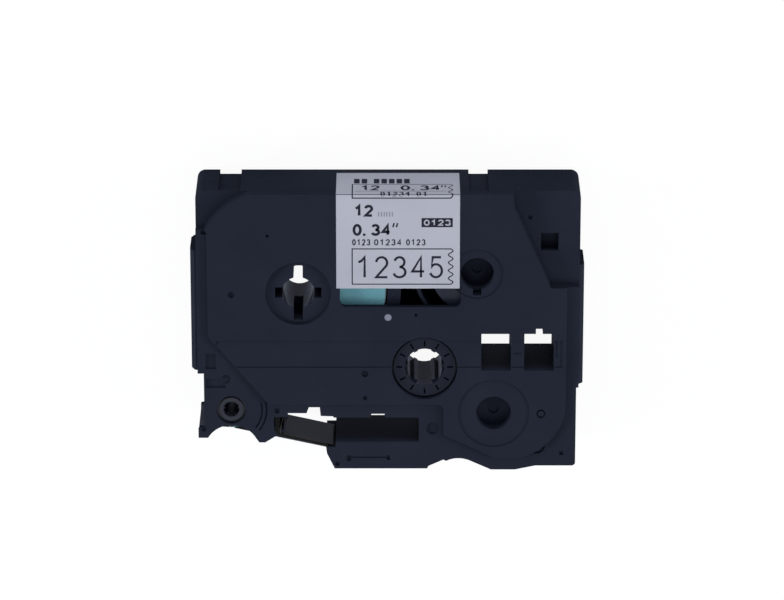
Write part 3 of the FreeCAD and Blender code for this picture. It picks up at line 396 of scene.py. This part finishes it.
def wavy_edge(x, bottom, top, depth, waves):
    """The wavy end of a drawn strip of tape."""
    steps = round(16 * waves)
    shares = [step / steps for step in range(steps + 1)]
    return [(x + depth * math.sin(2 * math.pi * waves * share), bottom + (top - bottom) * share)
            for share in shares]


def tape_box(left, bottom, right, top, depth, waves):
    """A drawn strip of tape with a wavy right end."""
    edge = wavy_edge(right - depth, bottom, top, depth, waves)
    return edge[:1] + [(left, bottom), (left, top)] + edge[::-1]


def arc(x, y, wide, high, start, end):
    """Points of an ellipse's arc from one angle to another, in degrees."""
    steps = math.ceil(abs(end - start) / 15)
    angles = [math.radians(start + (end - start) * step / steps) for step in range(steps + 1)]
    return [(x + wide * math.cos(angle), y + high * math.sin(angle)) for angle in angles]


# Plain numerals drawn as strokes in a box one wide and two high
NUMERALS = {
    "0": [arc(0.5, 1, 0.5, 1, 90, 450)],
    "1": [[(0.06, 1.5), (0.34, 1.64), (0.6, 2), (0.6, 0)]],
    "2": [arc(0.5, 1.44, 0.48, 0.56, 172, -32) + [(0.02, 0), (1, 0)]],
    "3": [arc(0.47, 1.51, 0.43, 0.49, 165, -90), arc(0.47, 0.51, 0.52, 0.51, 90, -165)],
    "4": [[(0.76, 0), (0.76, 2), (0, 0.58), (1.04, 0.58)]],
    "5": [[(0.92, 2), (0.2, 2), (0.1, 1.04)] + arc(0.48, 0.65, 0.52, 0.65, 132, -160)],
}
BLANK = 0.78


def numerals(place, text, left, bottom, width, height, gap, line, longest=UNDIVIDED):
    """Strokes of plain numbers, each within its own box."""
    quads = []
    x = left
    for sign in text:
        if sign == " ":
            x += BLANK * (width + gap)
            continue
        for route in NUMERALS[sign]:
            start_x, start_y = x + line / 2, bottom + line / 2
            points = [(start_x + (width - line) * px, start_y + (height - line) * py / 2)
                      for px, py in route]
            quads += stroke(place, points, line, longest)
        x += width + gap
    return quads


TICK_PITCH = 0.75
TICK_SLANT = 0.25
TICK_LINE = 0.34


def tick_marks(place, left, bottom, height):
    """Two slanted ticks side by side."""
    quads = []
    for foot in (left, left + TICK_PITCH):
        quads += stroke(place, [(foot, bottom), (foot + TICK_SLANT, bottom + height)], TICK_LINE)
    return quads


# Text, left, bottom, width, height, gap and line of each group of numerals
FACE_NUMBERS = (
    ("12", -7.2, 27.15, 2.0, 2.75, 0.2, 0.6),
    ("0 34", -7.5, 22.75, 2.0, 2.75, 0.25, 0.6),
    ("0123", -7.6, 20.55, 0.8, 1.45, 0.25, 0.26),
    ("01234", -2.85, 20.55, 0.95, 1.45, 0.3, 0.26),
    ("0123", 4.1, 20.55, 0.85, 1.45, 0.28, 0.26),
    ("12345", -6.65, 12.95, 3.0, 5.15, 0.95, 0.52),
)
BLOCK_NUMBERS = ("0123", 7.95, 25.1, 1.25, 1.4, 0.28, 0.28)
FOLD_NUMBERS = (
    ("12", -5.8, 2.85, 2.0, 3.2, 0.2, 0.6),
    ("0 34", 2.9, 2.85, 2.1, 3.2, 0.25, 0.6),
    ("01234 01", -1.5, -0.1, 1.05, 1.85, 0.3, 0.36, ROUND_THE_FOLD),
)
# Left, bottom, right, top, wave depth and waves of each drawn strip of tape
FACE_TAPE = (-7.6, 11.6, 14.3, 19.75, 0.5, 4.5)
FOLD_TAPE = (-7.55, -0.45, 14.2, 6.75, 0.45, 2.5)
# Left, bottom, right and top
DARK_BLOCK = (7.45, 24.75, 14.2, 26.85)
FACE_POINT = (-5.25, 22.75, -4.7, 23.3)
FOLD_POINT = (5.35, 2.85, 5.85, 3.5)
GREY_BARS = (-1.95, -1.35, -0.75, -0.2, 0.4, 1.0)
FOLD_BARS = (-7.2, -5.55, -2.9, -1.25, 0.4, 2.05, 3.7)


def build_face_print():
    """Generic print: plain numbers, a dark block and a drawn strip of tape."""
    dark = [quad(on_face, *FACE_POINT), quad(on_face, *DARK_BLOCK)]
    for numbers in FACE_NUMBERS:
        dark += numerals(on_face, *numbers)
    dark += tick_marks(on_face, 1.25, 24.75, 0.95)
    dark += stroke(on_face, tape_box(*FACE_TAPE), 0.24)
    print_quads("dark_print", dark, black_ink)
    print_quads("light_print", numerals(on_block, *BLOCK_NUMBERS), label_material)
    grey = [quad(on_face, left, 27.2, left + 0.24, 28.25) for left in GREY_BARS]
    print_quads("grey_print", grey, grey_ink)


def build_fold_print():
    """Print on the rear wall that reaches over the fold: bars, plain numbers and a strip of tape."""
    dark = [quad(over_fold, left, 7.35, left + 1.2, 10.35) for left in FOLD_BARS]
    dark.append(quad(over_fold, *FOLD_POINT))
    for numbers in FOLD_NUMBERS:
        dark += numerals(over_fold, *numbers)
    dark += tick_marks(over_fold, 11.75, 4.9, 1.1)
    dark += stroke(over_fold, tape_box(*FOLD_TAPE), 0.26, ROUND_THE_FOLD)
    dark += stroke(over_fold, [(-7.0, 2.25), (12.8, 2.25)], 0.14)
    print_quads("fold_print", dark, black_ink)


build_sticker()
build_face_print()
build_fold_print()


# Floor, light and camera

FLOOR_REACH = 1.5
FLOOR_DROP = 0.00005
FLOOR_WHITE = 0.93
# Painted reflection: the floor's glow as seen only in reflections, bright and bluish under the part, dim
# around it.
PAINTED_REFLECTION_UNDER = (0.45, 0.49, 0.62, 1)
PAINTED_REFLECTION_AROUND = (0.1, 0.115, 0.15, 1)
UNDER_RADIUS = 0.03
AROUND_RADIUS = 0.042


def build_floor():
    """White for the camera with the part's shadow kept; in reflections dimmer, with a painted reflection
    that glows brighter and bluish under the part.
    """
    mesh = bpy.data.meshes.new("floor")
    corners = [(-1, -1), (1, -1), (1, 1), (-1, 1)]
    points = [(FLOOR_REACH * x, FLOOR_REACH * y, -FLOOR_DROP) for x, y in corners]
    mesh.from_pydata(points, [], [(0, 1, 2, 3)])
    floor = bpy.data.objects.new("floor", mesh)
    bpy.context.scene.collection.objects.link(floor)
    material, tree, shader = new_material("floor")
    shader.inputs["Base Color"].default_value = (0.9, 0.9, 0.9, 1)
    shader.inputs["Roughness"].default_value = 0.9
    shader.inputs["Specular IOR Level"].default_value = 0.0
    path = add_node(tree, "ShaderNodeLightPath")
    seen = add_node(tree, "ShaderNodeMath", operation="MAXIMUM")
    tree.links.new(path.outputs["Is Camera Ray"], seen.inputs[0])
    tree.links.new(path.outputs["Is Transmission Ray"], seen.inputs[1])
    bright = add_node(tree, "ShaderNodeMath", operation="MULTIPLY")
    bright.inputs[1].default_value = FLOOR_WHITE
    tree.links.new(seen.outputs[0], bright.inputs[0])
    share = add_node(tree, "ShaderNodeMath", operation="ADD")
    tree.links.new(bright.outputs[0], share.inputs[0])
    tree.links.new(path.outputs["Is Glossy Ray"], share.inputs[1])
    place = add_node(tree, "ShaderNodeNewGeometry")
    reach = add_node(tree, "ShaderNodeVectorMath", operation="LENGTH")
    tree.links.new(place.outputs["Position"], reach.inputs[0])
    away = add_node(tree, "ShaderNodeMapRange", {"From Min": UNDER_RADIUS, "From Max": AROUND_RADIUS})
    tree.links.new(reach.outputs["Value"], away.inputs["Value"])
    # Painted reflection: a glow for reflected rays, from bright under the part to dim around it.
    painted_reflection = add_node(tree, "ShaderNodeMix", data_type="RGBA")
    tree.links.new(away.outputs["Result"], painted_reflection.inputs["Factor"])
    painted_reflection.inputs["A"].default_value = PAINTED_REFLECTION_UNDER
    painted_reflection.inputs["B"].default_value = PAINTED_REFLECTION_AROUND
    shown = add_node(tree, "ShaderNodeMix", data_type="RGBA")
    tree.links.new(path.outputs["Is Glossy Ray"], shown.inputs["Factor"])
    shown.inputs["A"].default_value = (1, 1, 1, 1)
    tree.links.new(painted_reflection.outputs["Result"], shown.inputs["B"])
    glow = add_node(tree, "ShaderNodeEmission", {"Strength": 1.0})
    tree.links.new(shown.outputs["Result"], glow.inputs["Color"])
    mix = add_node(tree, "ShaderNodeMixShader")
    tree.links.new(share.outputs[0], mix.inputs["Fac"])
    tree.links.new(shader.outputs[0], mix.inputs[1])
    tree.links.new(glow.outputs[0], mix.inputs[2])
    tree.links.new(mix.outputs[0], tree.nodes["Material Output"].inputs["Surface"])
    mesh.materials.append(material)


WORLD_TINT = (0.92, 0.98, 1.16, 1)
WORLD_LEVEL = 0.42


def build_world():
    """White behind the part, and a dim bluish fill on it."""
    world = bpy.data.worlds.new("studio")
    bpy.context.scene.world = world
    world.use_nodes = True
    tree = world.node_tree
    backdrop = tree.nodes["Background"]
    backdrop.inputs["Color"].default_value = WORLD_TINT
    path = add_node(tree, "ShaderNodeLightPath")
    strength = add_node(tree, "ShaderNodeMapRange", {"To Min": WORLD_LEVEL, "To Max": 1.0})
    tree.links.new(path.outputs["Is Camera Ray"], strength.inputs["Value"])
    tree.links.new(strength.outputs["Result"], backdrop.inputs["Strength"])


# Name, place, width and depth in metres, and power in watts
LAMPS = (
    ("key", (0.1, -0.45, 0.75), 0.6, 0.5, 2.1),
    ("rear_fill", (0, 0.9, 0.3), 0.8, 0.3, 3.0),
    ("left_side", (-0.75, -0.05, 0.3), 0.4, 0.25, 6.0),
    ("right_side", (0.75, -0.05, 0.3), 0.4, 0.25, 5.0),
)


def add_softbox(name, place, width, depth, power):
    """A soft light that faces the part."""
    light = bpy.data.lights.new(name, "AREA")
    light.shape = "RECTANGLE"
    light.size, light.size_y = width, depth
    light.energy = power
    lamp = bpy.data.objects.new(name, light)
    lamp.location = place
    lamp.rotation_euler = (-Vector(place)).to_track_quat("-Z", "Y").to_euler()
    bpy.context.scene.collection.objects.link(lamp)


CAMERA_TILT = math.radians(20.5)
CAMERA_DISTANCE = 1.0
CAMERA_TARGET = Vector((0.00105, 0.00793, 0.0165))
FOCAL_PIXELS = 4590.0
PICTURE_WIDTH = 784.0
SENSOR = 36.0


def build_camera():
    camera = bpy.data.cameras.new("camera")
    camera.sensor_width = SENSOR
    camera.lens = SENSOR * FOCAL_PIXELS / PICTURE_WIDTH
    camera.clip_start = 0.05
    holder = bpy.data.objects.new("camera", camera)
    aim = Vector((0, math.sin(CAMERA_TILT), math.cos(CAMERA_TILT)))
    holder.location = CAMERA_TARGET + CAMERA_DISTANCE * aim
    holder.rotation_euler = Euler((-CAMERA_TILT, 0, 0))
    bpy.context.scene.collection.objects.link(holder)
    bpy.context.scene.camera = holder


build_floor()
build_world()
for lamp in LAMPS:
    add_softbox(*lamp)
build_camera()
bpy.context.scene.view_settings.view_transform = "Standard"
